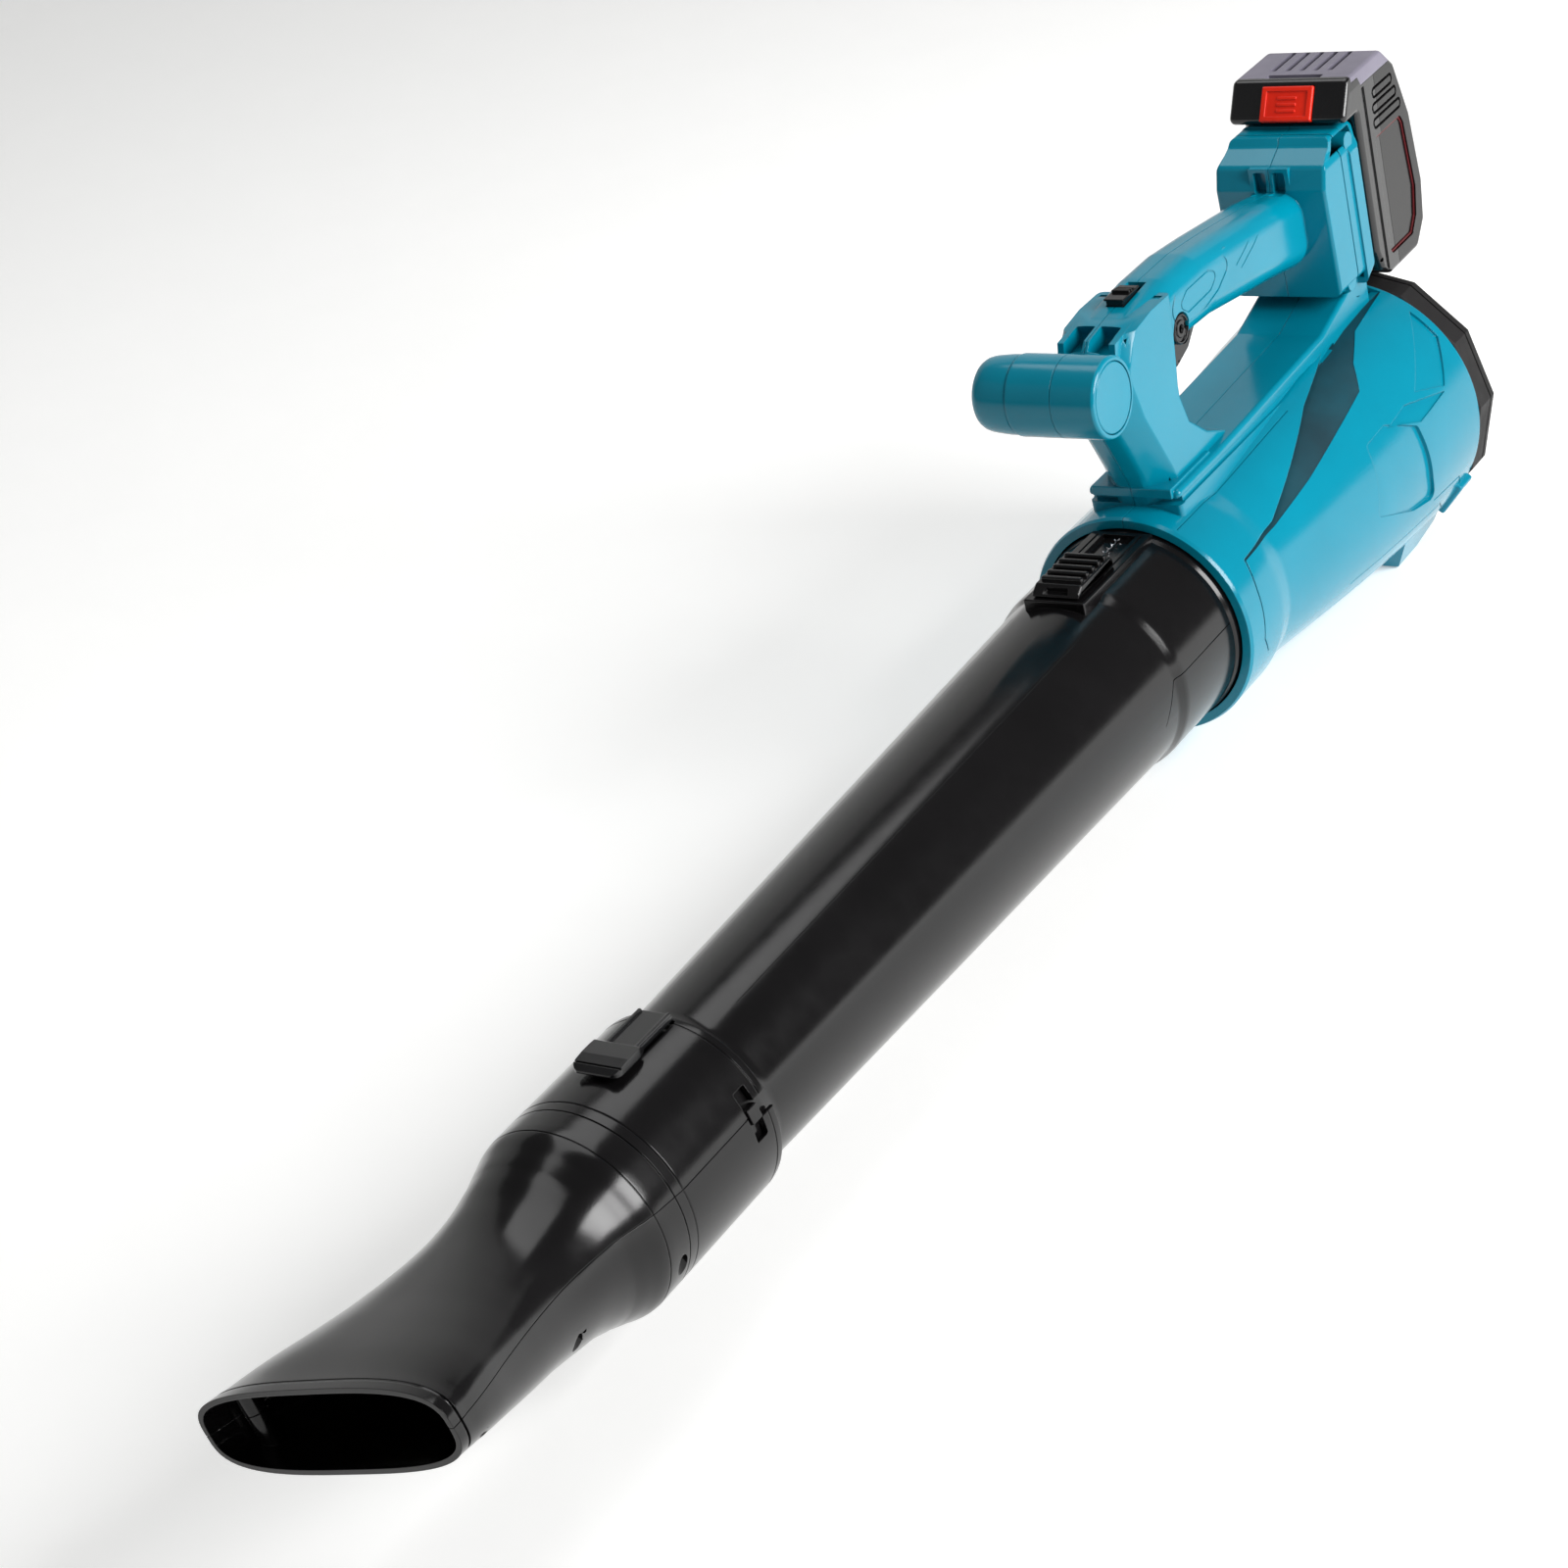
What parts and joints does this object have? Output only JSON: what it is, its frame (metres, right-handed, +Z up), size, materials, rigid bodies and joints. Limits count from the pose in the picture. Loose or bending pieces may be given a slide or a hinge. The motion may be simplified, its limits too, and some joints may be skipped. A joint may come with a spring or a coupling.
{
  "type": "leaf blower",
  "caption": "Cordless leaf blower with a loop handle, side knob, slide-on battery pack, axial fan, long tapered tube and a flat fishtail nozzle.",
  "frame": {"origin": "middle of the flat rest foot under the body, on the surface the blower stands on", "axes": "+Z up, +Y along the air axis towards the intake and battery end, +X towards the user's left hand; the nozzle points along -Y"},
  "size_m": [0.152, 0.981, 0.275],
  "materials": {
    "body_plastic": "satin teal moulding",
    "tube_plastic": "satin black moulding",
    "black_plastic": "fine-grained black moulding",
    "dark_plastic": "matte dark grey moulding",
    "pack_plastic": "half-gloss black moulding",
    "button_red": "glossy red moulding",
    "motor_steel": "drawn steel",
    "rotor_steel": "laminated iron core",
    "screw_steel": "zinc-plated steel",
    "contact_brass": "plain brass",
    "board_green": "circuit board",
    "lead_red": "soft insulation",
    "lead_black": "soft insulation",
    "seal_rubber": "soft black rubber",
    "cell_wrap": "shrink wrap over steel cells"
  },
  "bodies": {
    "blower": {"housing_left": "body_plastic", "housing_right": "body_plastic", "housing_screw_1": "screw_steel", "housing_screw_2": "screw_steel", "housing_screw_3": "screw_steel", "housing_screw_4": "screw_steel", "housing_screw_5": "screw_steel", "housing_screw_6": "screw_steel", "housing_screw_7": "screw_steel", "housing_screw_8": "screw_steel", "housing_screw_9": "screw_steel", "intake_ring": "dark_plastic", "intake_grille": "dark_plastic", "fan_duct": "dark_plastic", "tail_cone": "dark_plastic", "motor_can": "motor_steel", "bearing_front": "motor_steel", "bearing_rear": "motor_steel", "side_knob": "body_plastic", "side_knob_bolt": "screw_steel", "side_knob_cap": "body_plastic", "trigger_pin": "screw_steel", "trigger_spring": "screw_steel", "switch_module": "dark_plastic", "speed_controller": "board_green", "power_lead_left": "lead_red", "power_lead_right": "lead_black", "motor_lead": "lead_red", "collar_seal": "seal_rubber", "terminal_block": "black_plastic", "terminal_blade_left": "contact_brass", "terminal_blade_right": "contact_brass"},
    "fan": {"motor_shaft": "motor_steel", "motor_rotor": "rotor_steel", "fan_wheel": "dark_plastic", "fan_nut": "screw_steel"},
    "trigger": {"trigger": "black_plastic"},
    "lock_slider": {"lock_slider": "black_plastic"},
    "battery": {"pack_front_shell": "pack_plastic", "pack_back_shell": "pack_plastic", "cell_block": "cell_wrap", "pack_contacts": "contact_brass", "pack_button_spring": "screw_steel"},
    "pack_button": {"pack_release_button": "button_red"},
    "tube": {"main_tube": "tube_plastic", "tube_slider_spring": "screw_steel"},
    "tube_slider": {"tube_release_slider": "black_plastic"},
    "sleeve": {"coupling_sleeve": "tube_plastic", "latch_spring": "screw_steel"},
    "latch": {"nozzle_latch": "black_plastic"},
    "nozzle": {"nozzle_upper": "tube_plastic", "nozzle_lower": "tube_plastic", "nozzle_screw_1": "screw_steel", "nozzle_screw_2": "screw_steel", "nozzle_screw_3": "screw_steel", "nozzle_screw_4": "screw_steel", "nozzle_screw_5": "screw_steel", "nozzle_screw_6": "screw_steel"}
  },
  "joints": [
    {"name": "fan_spin", "type": "hinge", "parent": "blower", "child": "fan", "pos_m": [0, -0.044, 0.079], "axis": [0, 1, 0], "continuous": true},
    {"name": "trigger_squeeze", "type": "hinge", "parent": "blower", "child": "trigger", "pos_m": [0, -0.17, 0.216], "axis": [1, 0, 0], "range_deg": [0, 7], "stiffness_Nm_per_rad": 0.2, "springref_deg": -8.59, "deforming": ["trigger_spring"]},
    {"name": "lock_slide", "type": "slide", "parent": "blower", "child": "lock_slider", "axis": [0, 1, 0], "range_m": [0, 0.007]},
    {"name": "battery_slide", "type": "slide", "parent": "blower", "child": "battery", "axis": [0, 0, 1], "range_m": [0, 0.1]},
    {"name": "pack_button_press", "type": "slide", "parent": "battery", "child": "pack_button", "axis": [0, 0.8356, -0.5493], "range_m": [0, 0.003], "stiffness_N_per_m": 400, "springref_m": -0.002, "deforming": ["pack_button_spring"]},
    {"name": "tube_slide", "type": "slide", "parent": "blower", "child": "tube", "axis": [0, -1, 0], "range_m": [0, 0.06]},
    {"name": "tube_slider_pull", "type": "slide", "parent": "tube", "child": "tube_slider", "axis": [0, 1, 0], "range_m": [0, 0.006], "stiffness_N_per_m": 300, "springref_m": -0.004, "deforming": ["tube_slider_spring"]},
    {"name": "sleeve_twist", "type": "hinge", "parent": "tube", "child": "sleeve", "pos_m": [0, -0.69, 0.079], "axis": [0, 1, 0], "range_deg": [-8, 8]},
    {"name": "latch_press", "type": "slide", "parent": "sleeve", "child": "latch", "axis": [0, 0, -1], "range_m": [0, 0.0015], "stiffness_N_per_m": 400, "springref_m": -0.002, "deforming": ["latch_spring"]},
    {"name": "nozzle_turn", "type": "hinge", "parent": "sleeve", "child": "nozzle", "pos_m": [0, -0.739, 0.079], "axis": [0, 1, 0], "range_deg": [-14, 46]}
  ]
}
